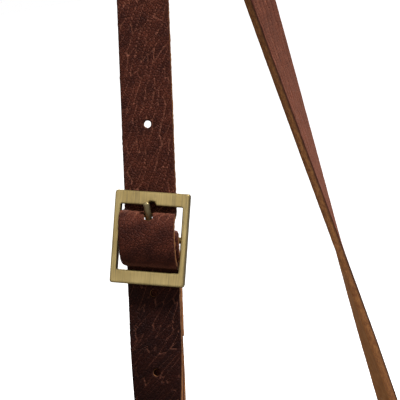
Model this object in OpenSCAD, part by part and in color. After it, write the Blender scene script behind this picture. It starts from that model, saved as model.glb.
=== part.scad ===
// Crossbody purse: a flap bag of thick pebbled leather with raw cut edges, on a buckled shoulder strap.
// The bag stands on its base: X is its width, Y its depth (front is -Y) and Z is up.
// The origin is the middle of the base's flat underside. All lengths are millimetres.

/* [Bag] */
// Width of the bag
bag_w = 196; // [190:1:204]
// Height of the bag's panels
bag_h = 140; // [135:1:150]
// Depth of the bag between its front and back panels
bag_d = 60; // [56:1:66]
// Radius of the two lower corners
corner_r = 40; // [30:1:45]
// Thickness of the panel and flap leather
panel_t = 2.2; // [1.8:0.1:2.4]
// Thickness of the gusset leather
gusset_t = 2; // [1.6:0.1:2.2]
// Width of the gusset's inward-turned sewing flanges
flange_w = 8; // [6:1:10]

/* [Flap] */
// Half of the flap's width at its hinge
flap_half_w = 80; // [76:1:81]
// Height of the flap's lower edge above the floor
flap_low_z = 42; // [36:1:50]
// Radius of the flap's lower corners
flap_corner_r = 34; // [28:1:38]
// Angle by which the flap's sides lean inwards
flap_taper = 6; // [5:1:8]
// Radius of the flap's outer bend over the front
flap_bend_r = 8; // [7:0.5:9]

/* [Closure] */
// Height of the magnetic snap above the floor
snap_z = 66; // [62:1:74]
// Radius of each snap disc
snap_r = 7; // [6:0.5:8]
// Thickness of each snap disc
snap_t = 1.6; // [1.4:0.1:1.8]
// Gap between the closed snap's two discs
snap_gap = 0.2; // [0.1:0.1:0.4]

/* [Rings] */
// Radius of a ring, to the middle of its wire
ring_r = 15; // [14.8:0.1:15.5]
// Radius of the ring's wire
wire_r = 2; // [1.8:0.1:2.1]
// Width of the leather tab that holds a ring
tab_w = 16; // [14:1:16]
// Thickness of the tab's leather
tab_t = 1.6; // [1.4:0.1:1.6]

/* [Strap] */
// Width of the strap
strap_w = 19; // [18:0.5:19]
// Thickness of the strap leather
strap_t = 2.4; // [2.2:0.1:2.4]
// Angle by which each strand of the strap leans inwards
strap_lean = 10.2; // [9.5:0.05:10.5]
// Radius of the bend where the strap hangs at its top
apex_r = 8; // [6:1:12]
// Distance from the left ring up the strap to the buckle
buckle_p = 306; // [300:1:335]
// Length of the strap's free end below the buckle
tail_len = 95; // [90:1:100]
// Distance of the keeper below the buckle
keeper_drop = 69; // [67:1:72]
// Radius of the punched adjustment holes
hole_r = 1.4; // [1.2:0.1:1.8]

/* [Buckle] */
// Width of the buckle's frame
frame_w = 27.4; // [27.2:0.1:28]
// Height of the buckle's frame
frame_h = 33.8; // [33.6:0.1:34.4]
// Thickness of the buckle's frame
frame_t = 3.2; // [3:0.1:3.2]
// Width of the frame's two side bars
side_bar = 2.4; // [2.2:0.1:2.4]
// Width of the frame's top and bottom bars
end_bar = 5.1; // [4.8:0.1:5.1]
// Radius of the centre bar
bar_r = 1.2; // [1.1:0.05:1.2]
// Radius of the prong
prong_r = 1.15; // [1.05:0.05:1.2]
// Angle by which the buckle sits askew on the strap
buckle_skew = 6.4; // [4:0.1:6.5]
// Angle by which the prong leans to the side on its bar
prong_lean = 8; // [6:1:11]

/* [Hidden] */

$fn = 96;
cut = 1;                                    // how far a cutting tool passes a face
clear = 0.05;                               // working clearance between turned parts
leather = "saddlebrown";
brass = "darkkhaki";

inner_y = bag_d / 2;
outer_y = inner_y + panel_t;

// flap: its sheet lies this far above the panels' top edge, and off the front by the closed snap
flap_rise = 2;
flap_under_z = bag_h + flap_rise;
flap_top_z = flap_under_z + panel_t;
flap_in_y = -outer_y - 2 * snap_t - snap_gap;
flap_out_y = flap_in_y - panel_t;
hinge_y = outer_y + panel_t / 2;
hinge_gap = 1.5;
root_len = 36;
root_corner_r = 10;
root_rise = 0.9;                            // the root's height above the panels' top edge

// snap: a shank passes through the leather to a washer or a cap
shank_r = 2;
washer_r = 6;
washer_t = 0.8;
cap_r = 6.5;
cap_t = 1.4;
cap_slope = 1.2;                            // how much smaller the cap's face is

// lining and base board stand clear of the seams, tabs and rivets
lining_inset = 5.2;
lining_t = 0.8;
lining_gap = 0.2;
lining_y = inner_y - gusset_t - lining_gap;
pocket_w = 120;
pocket_h = 78;
pocket_t = 1.2;
pocket_low_z = 34;
pocket_corner_r = 12;
board_w = 108;
board_t = 1.6;

// rings stand on the middle of the gusset's side walls
ring_x = bag_w / 2 - gusset_t / 2;
ring_lift = 18;
ring_z = bag_h + ring_lift;
tab_gap = wire_r + 0.6;
tab_low_z = bag_h - 36;
tab_pinch_z = bag_h - 4;
tab_wire_z = ring_z - ring_r;
tab_rivet_z = [bag_h - 14, bag_h - 26];

rivet_r = 1.5;
rivet_cap_r = 4;
rivet_cap_t = 0.9;
rivet_slope = 1;

// strap loop: each strand starts at the top of its ring's wire and leans inwards to the apex bend
loop_z = ring_z + ring_r;
strand_len = (ring_x - apex_r * cos(strap_lean)) / sin(strap_lean);
apex_len = apex_r * (180 - 2 * strap_lean) * PI / 180;
loop_len = 2 * strand_len + apex_len;
apex_z = loop_z + (ring_x - apex_r / cos(strap_lean)) / tan(strap_lean);
half_w = strap_w / 2;
half_t = strap_t / 2;
ply = strap_t + clear;                      // pitch of two plies that lie together
ring_loop_r = wire_r + 1.4 + half_t;        // bend of the strap's end round a ring's wire
ring_loop_drop = 3.4;                       // depth of that bend's centre below the wire
ring_loop_p = 8;                            // the bend's two sides run straight up to here
sewn_p = 40;                                // the end's two plies meet here
sewn_end_p = 62;                            // and the turned-back ply stops here
sewn_clear_p = 66;                          // from here on the strap is a single ply
long_ease = 60;                             // length over which the long strap reaches the loop
short_ease = 120;                           // and over which the short strap passes below it
rivet_p = [44, 56];

// strap's turn about its own length: [distance along the loop, angle of its outer face to the front]
turns = [
    [0, 0], [sewn_clear_p, 0], [buckle_p - 100, 25], [buckle_p - 60, 25], [buckle_p - 40, 41.5],
    [buckle_p + 20, 41.5], [loop_len / 2, 50], [loop_len - buckle_p - 86, 71],
    [loop_len - buckle_p, 47], [loop_len - buckle_p + 59, 31], [loop_len - sewn_clear_p, 0], [loop_len, 0]];

// buckle: the strap lies behind the frame's ends and rises over the centre bar in its window
window_w = frame_w - 2 * side_bar;
window_h = frame_h - 2 * end_bar;
bar_w_axis = -0.3;                          // bar's height in the frame's thickness
frame_gap = 0.8;                            // space between the strap and the back of the frame
seat = frame_t / 2 + frame_gap + half_t;    // strap's depth behind the middle of the frame
climb = 48;                                 // slope of the strap in the window
bar_clear = 0.08;                           // clearance round the bar
wrap_r = bar_r + bar_clear + half_t;        // the short strap's bend round the bar
crest_r = wrap_r + ply;                     // the long strap's bend over that
valley_r = 3;                               // the long strap's bend back behind the frame
climb_len = (bar_w_axis + crest_r * cos(climb) - valley_r * (1 - cos(climb)) + seat) / sin(climb);
valley_u = (crest_r + valley_r) * sin(climb) + climb_len * cos(climb);
valley_w = valley_r - seat;
return_r = valley_r + 2 * ply;
return_angle = asin((return_r - wrap_r) / norm([valley_u, bar_w_axis - valley_w]))
    + atan((bar_w_axis - valley_w) / valley_u);
turn_back_end = 36;
lay_step = 4;                               // spacing of the sections where straps lie together
strand_step = 8;                            // and elsewhere
bend_step = 8;                              // degrees between sections round the buckle's bends
near_u = 16;                                // the strap is straight beyond this distance from the bar
skew_ease = 14;                             // and square to its length this much farther on
tail_round = 8;                             // length of the free end's rounded tip
tail_narrow = 0.45;                         // share of the width left at the end of the tip
hole_u = [41.4, -19.9, -48.6, -77];
fold_rivet_u = -27;
fold_rivet_v = 4.5;
fold_rivet_head_r = 3;
fold_rivet_head_t = 0.5;

// prong: its eye turns on the bar and its rod rests on the frame's top bar
eye_r = 2.35;
eye_w = 3;
eye_slot = 3.6;
prong_rise = 16;
prong_drop = 0.3;                           // rod's axis passes this far below the bar's axis
prong_root = 1.5;                           // the rod starts inside the eye's wall
prong_len = 12.8;
prong_slot_w = 3.5;                         // the slot that the prong takes through the long strap
prong_slot_l = 9.5;
prong_slot_h = 5;
prong_slot_start = 1;
prong_slot_gap = 0.3;
notch_r = 1.25;
bar_inset = 0.2;                            // the bar's ends lie this deep in the frame's sides

keeper_l = 11;
keeper_t = 2;
keeper_gap = 0.35;

function ease(t) = let (c = min(max(t, 0), 1)) c * c * (3 - 2 * c);
function mix(a, b, t) = a + (b - a) * t;

// the strap loop at a distance p from the left ring: its point, its direction and its outer normal
function on_left(p) = p < strand_len;
function on_right(p) = p > strand_len + apex_len;
function apex_angle(p) = 180 - strap_lean - (p - strand_len) / apex_r * 180 / PI;
function loop_point(p) =
    on_left(p) ? [p * sin(strap_lean) - ring_x, 0, loop_z + p * cos(strap_lean)] :
    on_right(p) ? [ring_x - (loop_len - p) * sin(strap_lean), 0, loop_z + (loop_len - p) * cos(strap_lean)] :
    [apex_r * cos(apex_angle(p)), 0, apex_z + apex_r * sin(apex_angle(p))];
function loop_out(p) =
    on_left(p) ? [-cos(strap_lean), 0, sin(strap_lean)] :
    on_right(p) ? [cos(strap_lean), 0, sin(strap_lean)] :
    [cos(apex_angle(p)), 0, sin(apex_angle(p))];
function loop_dir(p) = let (o = loop_out(p)) [o[2], 0, -o[0]];
function loop_normal(p) = let (g = lookup(p, turns)) loop_out(p) * cos(g) + [0, -sin(g), 0];

// a station is [middle, half-width vector, half-thickness vector] of the strap's cross-section;
// a, b are the middle's place along and out from the loop at p, and heading turns the section
function skew_at(u) = buckle_skew * (1 - ease((abs(u) - near_u) / skew_ease));
function station(p, a, b, heading, skew = 0, width = 1) =
    let (dir = loop_dir(p), out = loop_normal(p), side = cross(dir, out))
    [loop_point(p) + a * dir + b * out,
     (side - dir * tan(skew)) * half_w * width,
     (out * cos(heading) - dir * sin(heading)) * half_t];
function flat_station(p, b, heading, width = 1) =
    station(p, 0, b, heading, skew_at(p - buckle_p), width);
function buckle_station(u, w, heading) = station(buckle_p, u, w + seat, heading, buckle_skew);

// where the sewn plies part to pass round a ring: way is 1 for the outer ply and -1 for the inner
function parting(p0, toward, way, t, heading) =
    station(p0, toward * mix(sewn_p, ring_loop_p, t), way * mix(ply / 2, ring_loop_r, ease(t)), heading);

// the end of a strand, turned back round the top of a ring; toward is the loop's sense there
function turned_end(toward) =
    let (p0 = toward > 0 ? 0 : loop_len, back = toward > 0 ? 180 : 0)
    concat(
        [for (d = [sewn_end_p, sewn_p]) station(p0, toward * d, -ply / 2, back)],
        [for (k = [1 : 4]) parting(p0, toward, -1, k / 5, back)],
        [for (s = [0 : 15 : 180]) station(p0, -toward * (ring_loop_drop + ring_loop_r * sin(s)),
            -ring_loop_r * cos(s), back - toward * s)],
        [for (k = [4 : -1 : 1]) parting(p0, toward, 1, k / 5, 180 - back)],
        [for (d = [sewn_p, sewn_end_p]) station(p0, toward * d, ply / 2, 180 - back)]);

short_depth = -ply;
function short_offset(p) = mix(ply / 2, short_depth, ease((p - sewn_clear_p) / short_ease));
function long_offset(p) = mix(ply / 2, 0, ease((loop_len - p - sewn_clear_p) / long_ease));

short_stations = concat(
    turned_end(1),
    [for (p = [sewn_clear_p + 4 : strand_step : buckle_p - tail_len - strand_step])
        flat_station(p, short_offset(p), 0)],
    [for (u = [-24 * lay_step : lay_step : -near_u]) flat_station(buckle_p + u, short_depth, 0)],
    [for (s = [0 : bend_step : climb]) buckle_station(-valley_u + (valley_r + ply) * sin(s),
        valley_w - (valley_r + ply) * cos(s), s)],
    [for (k = [0 : 16]) let (s = mix(climb, return_angle - 180, k / 16))
        buckle_station(-wrap_r * sin(s), bar_w_axis + wrap_r * cos(s), s)],
    [for (k = [0 : 5]) let (s = mix(return_angle - 180, -180, k / 5))
        buckle_station(-valley_u - return_r * sin(s), valley_w + return_r * cos(s), s)],
    [for (u = [near_u : lay_step : turn_back_end])
        flat_station(buckle_p - u, short_depth - ply, -180)]);

long_stations = concat(
    turned_end(-1),
    [for (p = [loop_len - sewn_clear_p - 4 : -strand_step : strand_len + apex_len + 2])
        flat_station(p, long_offset(p), 180)],
    [for (k = [0 : 16]) flat_station(strand_len + apex_len * (1 - k / 16), 0, 180)],
    [for (p = [strand_len - 4 : -strand_step : buckle_p + near_u + 6]) flat_station(p, 0, 180)],
    [for (u = [near_u + 4, near_u]) flat_station(buckle_p + u, 0, 180)],
    [for (s = [0 : bend_step : climb]) buckle_station(valley_u - valley_r * sin(s),
        valley_w - valley_r * cos(s), 180 - s)],
    [for (s = [climb : -bend_step : -climb]) buckle_station(crest_r * sin(s),
        bar_w_axis + crest_r * cos(s), 180 - s)],
    [for (s = [climb : -bend_step : 0]) buckle_station(-valley_u + valley_r * sin(s),
        valley_w - valley_r * cos(s), 180 + s)],
    [for (u = [near_u : lay_step : tail_len - tail_round]) flat_station(buckle_p - u, 0, 180)],
    [for (s = [14 : 14 : 84]) flat_station(buckle_p - tail_len + tail_round * (1 - sin(s)),
        0, 180, mix(tail_narrow, 1, cos(s)))]);

// a strap: one closed skin through its cross-sections; slant picks the diagonal of each twisted side,
// so that two straps that lie together are cut the same way
module ribbon(stations, slant = false) {
    last = len(stations) - 1;
    corners = [[-1, -1], [1, -1], [1, 1], [-1, 1]];
    points = [for (s = stations) for (c = corners) s[0] + c[0] * s[1] + c[1] * s[2]];
    sides = [for (i = [0 : last - 1]) for (j = [0 : 3])
        let (a = 4 * i + j, b = 4 * i + (j + 1) % 4)
        each slant ? [[b, a, a + 4], [b, a + 4, b + 4]] : [[b, a, b + 4], [b + 4, a, a + 4]]];
    ends = [[0, 1, 2], [0, 2, 3], [4 * last + 2, 4 * last + 1, 4 * last],
        [4 * last + 3, 4 * last + 2, 4 * last]];
    polyhedron(points, concat(ends, sides));
}

// child's X runs along the loop at p, its Y across the strap and its Z out of the strap's face
module on_loop(p, skew = 0) {
    dir = loop_dir(p);
    out = loop_normal(p);
    side = cross(dir, out);
    x = dir * cos(skew) + side * sin(skew);
    y = -side * cos(skew) + dir * sin(skew);
    o = loop_point(p);
    multmatrix([
        [x[0], y[0], out[0], o[0]],
        [x[1], y[1], out[1], o[1]],
        [x[2], y[2], out[2], o[2]],
        [0, 0, 0, 1]]) children();
}

// child's X is the buckle's height, Y its width and Z its thickness, from the frame's middle
module on_buckle() {
    on_loop(buckle_p, buckle_skew) translate([0, 0, seat]) children();
}

// child's X runs along the prong's rod from below the bar
module on_prong() {
    translate([0, 0, bar_w_axis]) rotate([0, 0, prong_lean]) rotate([0, -prong_rise, 0])
        translate([0, 0, -prong_drop]) children();
}

// an outline drawn in X and Z, made solid from y0 back to y0 + t
module upright(y0, t) {
    translate([0, y0 + t, 0]) rotate([90, 0, 0]) linear_extrude(t) children();
}

// an outline drawn in Y and Z, made solid from x0 to x0 + t
module sideways(x0, t) {
    translate([x0, 0, 0]) rotate([90, 0, 90]) linear_extrude(t) children();
}

module bag_outline(inset = 0, extra_top = 0) {
    half = bag_w / 2 - inset;
    radius = corner_r - inset;
    translate([-half, corner_r]) square([2 * half, bag_h - corner_r + extra_top]);
    translate([radius - half, inset]) square([2 * (half - radius), corner_r - inset]);
    for (side = [-1, 1]) translate([side * (half - radius), corner_r]) circle(radius);
}

module flap_outline() {
    low = flap_low_z + flap_corner_r;
    top = flap_top_z + cut;
    centre = flap_half_w - (flap_corner_r + (top - low) * sin(flap_taper)) / cos(flap_taper);
    side_x = centre + flap_corner_r * cos(flap_taper);
    side_z = low - flap_corner_r * sin(flap_taper);
    right = [[centre, flap_low_z], [side_x, side_z], [flap_half_w, top]];
    left = [for (i = [2 : -1 : 0]) [-right[i][0], right[i][1]]];
    polygon(concat(right, left));
    for (side = [-1, 1]) translate([side * centre, low]) circle(flap_corner_r);
}

// the flap's section in Y and Z: flat over the top, bent down the front
module flap_section() {
    bend_y = flap_out_y + flap_bend_r;
    bend_z = flap_top_z - flap_bend_r;
    translate([bend_y, flap_under_z]) square([hinge_y - hinge_gap - bend_y, panel_t]);
    translate([flap_out_y, 0]) square([panel_t, bend_z]);
    intersection() {
        translate([bend_y, bend_z]) difference() {
            circle(flap_bend_r);
            circle(flap_bend_r - panel_t);
        }
        translate([flap_out_y, bend_z]) square(flap_bend_r);
    }
}

module tongue(width, low_z, top_z) {
    translate([-width / 2, low_z + width / 2]) square([width, top_z - low_z - width / 2]);
    translate([0, low_z + width / 2]) circle(width / 2);
}

module rounded_bottom(width, low_z, top_z, radius) {
    half = width / 2;
    translate([-half, low_z + radius]) square([width, top_z - low_z - radius]);
    translate([radius - half, low_z]) square([width - 2 * radius, radius]);
    for (side = [-1, 1]) translate([side * (half - radius), low_z + radius]) circle(radius);
}

// a shank with a domed cap at each end, along Z; its caps bear on faces from z0 to z1
module rivet(z0, z1) {
    translate([0, 0, z0]) cylinder(h = z1 - z0, r = rivet_r - clear);
    translate([0, 0, z1]) cylinder(h = rivet_cap_t, r1 = rivet_cap_r, r2 = rivet_cap_r - rivet_slope);
    rivet_back(z0);
}

module rivet_back(z0) {
    translate([0, 0, z0 - rivet_cap_t])
        cylinder(h = rivet_cap_t, r1 = rivet_cap_r - rivet_slope, r2 = rivet_cap_r);
}

module at_strap_rivets(toward) {
    p0 = toward > 0 ? 0 : loop_len;
    for (p = rivet_p) on_loop(p0) translate([toward * p, 0, 0]) children();
}

module at_fold_rivets() {
    for (v = [-fold_rivet_v, fold_rivet_v])
        on_loop(buckle_p + fold_rivet_u) translate([0, v, 0]) children();
}

module back_panel() {
    color(leather) upright(inner_y, panel_t) bag_outline();
}

// a hole for the snap's shank through leather whose back lies at y
module shank_hole(y) {
    translate([0, y + cut, snap_z]) rotate([90, 0, 0])
        cylinder(h = panel_t + 2 * cut, r = shank_r + clear);
}

// the two holes for a tab's rivets, reaching as far as half to each side
module tab_rivet_holes(half) {
    for (z = tab_rivet_z) translate([-half, 0, z]) rotate([0, 90, 0]) cylinder(h = 2 * half, r = rivet_r);
}

module front_panel() {
    color(leather) difference() {
        upright(-outer_y, panel_t) bag_outline();
        shank_hole(-inner_y);
    }
}

// a band round the bag's sides and base, with flanges turned in along both panels
module gusset() {
    color(leather) difference() {
        union() {
            upright(-inner_y, bag_d) difference() {
                bag_outline();
                bag_outline(gusset_t, cut);
            }
            for (y0 = [-inner_y, inner_y - gusset_t]) upright(y0, gusset_t) difference() {
                bag_outline(gusset_t / 2);
                bag_outline(gusset_t + flange_w, cut);
            }
        }
        tab_rivet_holes(bag_w);
    }
}

// the part of the flap's leather that is sewn down on the back
module flap_root() {
    top = bag_h + root_rise;
    color(leather) upright(outer_y, panel_t)
        rounded_bottom(2 * flap_half_w, top - root_len, top, root_corner_r);
}

module flap() {
    color(leather) difference() {
        intersection() {
            sideways(-flap_half_w, 2 * flap_half_w) flap_section();
            upright(flap_out_y - cut, hinge_y - flap_out_y + 2 * cut) flap_outline();
        }
        shank_hole(flap_in_y);
    }
}

module lining() {
    color("tan") difference() {
        upright(-lining_y, 2 * lining_y) bag_outline(lining_inset, -2);
        upright(lining_t - lining_y, 2 * (lining_y - lining_t)) bag_outline(lining_inset + lining_t, cut);
    }
}

module back_pocket() {
    color("tan") upright(lining_y - lining_t - pocket_t, pocket_t)
        rounded_bottom(pocket_w, pocket_low_z, pocket_low_z + pocket_h, pocket_corner_r);
}

module base_board() {
    color("peru") translate([-board_w / 2, -lining_y, gusset_t]) cube([board_w, 2 * lining_y, board_t]);
}

module snap_post() {
    color(brass) translate([0, -outer_y, snap_z]) rotate([90, 0, 0]) {
        cylinder(h = snap_t, r = snap_r);
        translate([0, 0, -panel_t - washer_t]) cylinder(h = panel_t + washer_t + cut / 2, r = shank_r);
    }
}

module snap_washer() {
    color("silver") translate([0, washer_t - inner_y, snap_z]) rotate([90, 0, 0]) difference() {
        cylinder(h = washer_t, r = washer_r);
        translate([0, 0, -cut]) cylinder(h = washer_t + 2 * cut, r = shank_r + clear);
    }
}

module snap_socket() {
    color(brass) translate([0, flap_in_y, snap_z]) rotate([90, 0, 0]) {
        translate([0, 0, -snap_t]) cylinder(h = snap_t, r = snap_r);
        translate([0, 0, -cut / 2]) cylinder(h = panel_t + cut / 2, r = shank_r);
    }
}

module snap_cap() {
    color(brass) translate([0, flap_out_y, snap_z]) rotate([90, 0, 0])
        cylinder(h = cap_t, r1 = cap_r, r2 = cap_r - cap_slope);
}

// a strip folded over the ring's lower wire, with a leg on each face of the gusset's wall
module ring_tab(side) {
    inner = gusset_t / 2;
    pinch = [[inner, tab_pinch_z], [inner + tab_t, tab_pinch_z],
        [tab_gap + tab_t, tab_wire_z], [tab_gap, tab_wire_z]];
    color(leather) translate([side * ring_x, 0, 0]) difference() {
        intersection() {
            upright(-tab_w / 2, tab_w) {
                translate([0, tab_wire_z + tab_gap]) intersection() {
                    difference() {
                        circle(tab_gap + tab_t);
                        circle(tab_gap);
                    }
                    translate([-tab_gap - tab_t, 0]) square([2 * (tab_gap + tab_t), tab_gap + tab_t]);
                }
                for (leg = [0, 1]) mirror([leg, 0]) {
                    translate([inner, tab_low_z]) square([tab_t, tab_pinch_z - tab_low_z]);
                    polygon(pinch);
                    translate([tab_gap, tab_wire_z]) square([tab_t, tab_gap]);
                }
            }
            sideways(-tab_w, 2 * tab_w) tongue(tab_w, tab_low_z, ring_z);
        }
        tab_rivet_holes(tab_w);
    }
}

module ring_tab_left() {
    ring_tab(-1);
}

module ring_tab_right() {
    ring_tab(1);
}

module tab_rivets() {
    reach = gusset_t / 2 + tab_t;
    color(brass) for (side = [-1, 1]) for (z = tab_rivet_z)
        translate([side * ring_x, 0, z]) rotate([0, 90, 0]) rivet(-reach, reach);
}

module ring(side) {
    color(brass) translate([side * ring_x, 0, ring_z]) rotate([0, 90, 0])
        rotate_extrude() translate([ring_r, 0]) circle(wire_r);
}

module ring_left() {
    ring(-1);
}

module ring_right() {
    ring(1);
}

module short_strap() {
    slot_back = wrap_r + half_t + cut;
    slot_depth = 2 * slot_back;
    color(leather) difference() {
        ribbon(short_stations);
        at_strap_rivets(1) cylinder(h = 4 * ply, r = rivet_r, center = true);
        at_fold_rivets() {
            translate([0, 0, -4 * ply]) cylinder(h = 4 * ply, r = rivet_r);
            translate([0, 0, short_depth + half_t - fold_rivet_head_t])
                cylinder(h = cut, r = fold_rivet_head_r + clear);
        }
        on_buckle() translate([-slot_back, -eye_slot / 2, bar_w_axis - slot_depth])
            cube([2 * slot_back, eye_slot, slot_depth + slot_back]);
    }
}

module short_strap_rivets() {
    color(brass) at_strap_rivets(1) rivet(-ply / 2 - half_t, ply / 2 + half_t);
}

// two-piece rivets whose front heads lie sunk in the strap, under its free end
module fold_rivets() {
    face = short_depth + half_t;
    rear = short_depth - ply - half_t;
    color(brass) at_fold_rivets() {
        translate([0, 0, rear]) cylinder(h = face - rear - clear, r = rivet_r - clear);
        translate([0, 0, face - fold_rivet_head_t])
            cylinder(h = fold_rivet_head_t - clear, r = fold_rivet_head_r);
        rivet_back(rear);
    }
}

// a cylinder about the centre bar's axis
module round_bar(length, radius) {
    translate([0, 0, bar_w_axis]) rotate([90, 0, 0]) cylinder(h = length, r = radius, center = true);
}

module buckle_frame() {
    round_r = 1.2;
    color(brass) on_buckle() difference() {
        translate([0, 0, -frame_t / 2]) linear_extrude(frame_t) {
            for (x = [-1, 1]) for (y = [-1, 1])
                translate([x * (frame_h / 2 - round_r), y * (frame_w / 2 - round_r)]) circle(round_r);
            square([frame_h - 2 * round_r, frame_w], center = true);
            square([frame_h, frame_w - 2 * round_r], center = true);
        }
        cube([window_h, window_w, frame_t + 2 * cut], center = true);
        round_bar(frame_w + 2 * cut, bar_r + clear);
        translate([window_h / 2, 0, frame_t / 2]) cylinder(h = frame_t, r = notch_r, center = true);
    }
}

module buckle_bar() {
    color(brass) on_buckle() round_bar(frame_w - 2 * bar_inset, bar_r);
}

module buckle_prong() {
    color(brass) on_buckle() difference() {
        union() {
            round_bar(eye_w, eye_r);
            on_prong() {
                translate([prong_root, 0, 0]) rotate([0, 90, 0])
                    cylinder(h = prong_len - prong_root, r = prong_r);
                translate([prong_len, 0, 0]) sphere(prong_r);
            }
        }
        round_bar(eye_w + 2 * cut, bar_r + bar_clear);
    }
}

module long_strap() {
    color(leather) difference() {
        ribbon(long_stations, slant = true);
        at_strap_rivets(-1) cylinder(h = 4 * ply, r = rivet_r, center = true);
        for (u = hole_u) on_loop(buckle_p + u) cylinder(h = 4 * half_t, r = hole_r, center = true);
        on_buckle() on_prong() translate([prong_slot_start, -prong_slot_w / 2, -prong_r - prong_slot_gap])
            cube([prong_slot_l, prong_slot_w, prong_slot_h]);
    }
}

module long_strap_rivets() {
    color(brass) at_strap_rivets(-1) rivet(-ply / 2 - half_t, ply / 2 + half_t);
}

// a loop of leather round the strap and its free end
module keeper() {
    front = half_t + keeper_gap;
    back = short_depth - half_t - keeper_gap;
    inner_w = strap_w + 2 * keeper_gap;
    color(leather) on_loop(buckle_p - keeper_drop) difference() {
        translate([-keeper_l / 2, -inner_w / 2 - keeper_t, back - keeper_t])
            cube([keeper_l, inner_w + 2 * keeper_t, front - back + 2 * keeper_t]);
        translate([-keeper_l / 2 - cut, -inner_w / 2, back])
            cube([keeper_l + 2 * cut, inner_w, front - back]);
    }
}

back_panel();
front_panel();
gusset();
flap_root();
flap();
lining();
back_pocket();
base_board();
snap_post();
snap_washer();
snap_socket();
snap_cap();
ring_tab_left();
ring_tab_right();
tab_rivets();
ring_left();
ring_right();
short_strap();
short_strap_rivets();
fold_rivets();
buckle_frame();
buckle_bar();
buckle_prong();
long_strap();
long_strap_rivets();
keeper();
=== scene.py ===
import math

import bmesh
import bpy
import numpy as np
from mathutils import Matrix, Vector


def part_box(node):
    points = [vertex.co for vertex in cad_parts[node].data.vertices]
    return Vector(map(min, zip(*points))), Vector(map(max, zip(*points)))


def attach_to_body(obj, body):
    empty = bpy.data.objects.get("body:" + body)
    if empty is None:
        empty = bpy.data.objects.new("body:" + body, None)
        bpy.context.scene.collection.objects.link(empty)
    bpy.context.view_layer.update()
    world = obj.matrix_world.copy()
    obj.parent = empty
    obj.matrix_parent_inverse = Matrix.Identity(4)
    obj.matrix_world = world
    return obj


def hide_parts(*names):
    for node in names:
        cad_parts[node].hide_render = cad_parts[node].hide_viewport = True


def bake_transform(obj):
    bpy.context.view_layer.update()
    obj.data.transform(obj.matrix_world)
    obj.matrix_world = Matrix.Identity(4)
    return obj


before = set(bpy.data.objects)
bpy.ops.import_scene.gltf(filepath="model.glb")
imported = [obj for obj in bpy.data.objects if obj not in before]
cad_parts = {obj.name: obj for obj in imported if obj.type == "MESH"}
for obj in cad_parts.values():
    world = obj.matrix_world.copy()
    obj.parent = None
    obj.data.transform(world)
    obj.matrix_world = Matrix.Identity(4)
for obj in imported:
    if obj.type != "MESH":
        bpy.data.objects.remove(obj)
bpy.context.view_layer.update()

MM = 0.001


def box_mm(node):
    """A CAD node's lowest and highest corners, in mm."""
    low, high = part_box(node)
    return np.array(low) / MM, np.array(high) / MM


# ---------------------------------------------------------------- sizes, in mm

panel_low, panel_high = box_mm("back_panel")
flap_low, flap_high = box_mm("flap")
root_low, root_high = box_mm("flap_root")
ring_low, ring_high = box_mm("ring_right")
tab_low, tab_high = box_mm("ring_tab_right")
pocket_low, pocket_high = box_mm("back_pocket")
lining_high = box_mm("lining")[1]
snap_low, snap_high = box_mm("snap_cap")

bag_half = panel_high[0]
bag_top = panel_high[2]
corner_r = 40.0
panel_t = panel_high[1] - panel_low[1]
inner_y = panel_low[1]
gusset_t = 2.0
flange_w = 8.0
seam_in = 4.0                    # the seam's distance from the panels' edge
sunk = 0.28                      # how far the stitches lie in their groove
snap_bore = 2.1

flap_mid_y = flap_low[1] + panel_t / 2
flap_mid_z = flap_high[2] - panel_t / 2
flap_bend = 8.0 - panel_t / 2    # the flap's front bend, to the middle of its leather
flap_half = flap_high[0]
flap_corner = 34.0
flap_taper = math.radians(6)
root_mid_y = (root_low[1] + root_high[1]) / 2
root_bend = 3.0
root_corner = 10.0
snap_z = (snap_low[2] + snap_high[2]) / 2

ring_x = (ring_low[0] + ring_high[0]) / 2
ring_z = (ring_low[2] + ring_high[2]) / 2
wire_r = (ring_high[0] - ring_low[0]) / 2
ring_r = (ring_high[2] - ring_low[2]) / 2 - wire_r

strap_w = 19.0
strap_t = 2.4
half_w = strap_w / 2
half_t = strap_t / 2
ply = strap_t + 0.05             # from one layer of the folded strap to the next
lean = math.radians(10.2)
apex_r = 8.0
buckle_p = 306.0
tail_len = 95.0
keeper_drop = 69.0
hole_r = 1.35
prong_slot_r = 1.4
hole_u = [41.4, -19.9, -48.6, -77.0]

loop_z = ring_z + ring_r
strand_len = (ring_x - apex_r * math.cos(lean)) / math.sin(lean)
apex_len = apex_r * (math.pi - 2 * lean)
loop_len = 2 * strand_len + apex_len
apex_z = loop_z + (ring_x - apex_r / math.cos(lean)) / math.tan(lean)
ring_clear = 1.4
ring_bend = wire_r + ring_clear + half_t
ring_drop = 3.4
sewn_p = 40.0
sewn_end_p = 62.0
sewn_mid_p = 51.0
open_p = 8.0                     # where the two layers have parted, near the ring
free_p = 66.0                    # where the fold ends and the strap is single
opposite_p = loop_len - buckle_p
# the strap's turn about its own length: pairs of distance along and degrees
turn_marks = [(0, 0), (free_p, 0), (buckle_p - 100, 25), (buckle_p - 60, 25), (buckle_p - 40, 41.5),
              (buckle_p + 20, 41.5), (loop_len / 2, 50), (opposite_p - 86, 71), (opposite_p, 47),
              (opposite_p + 59, 31), (loop_len - free_p, 0), (loop_len, 0)]

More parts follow.
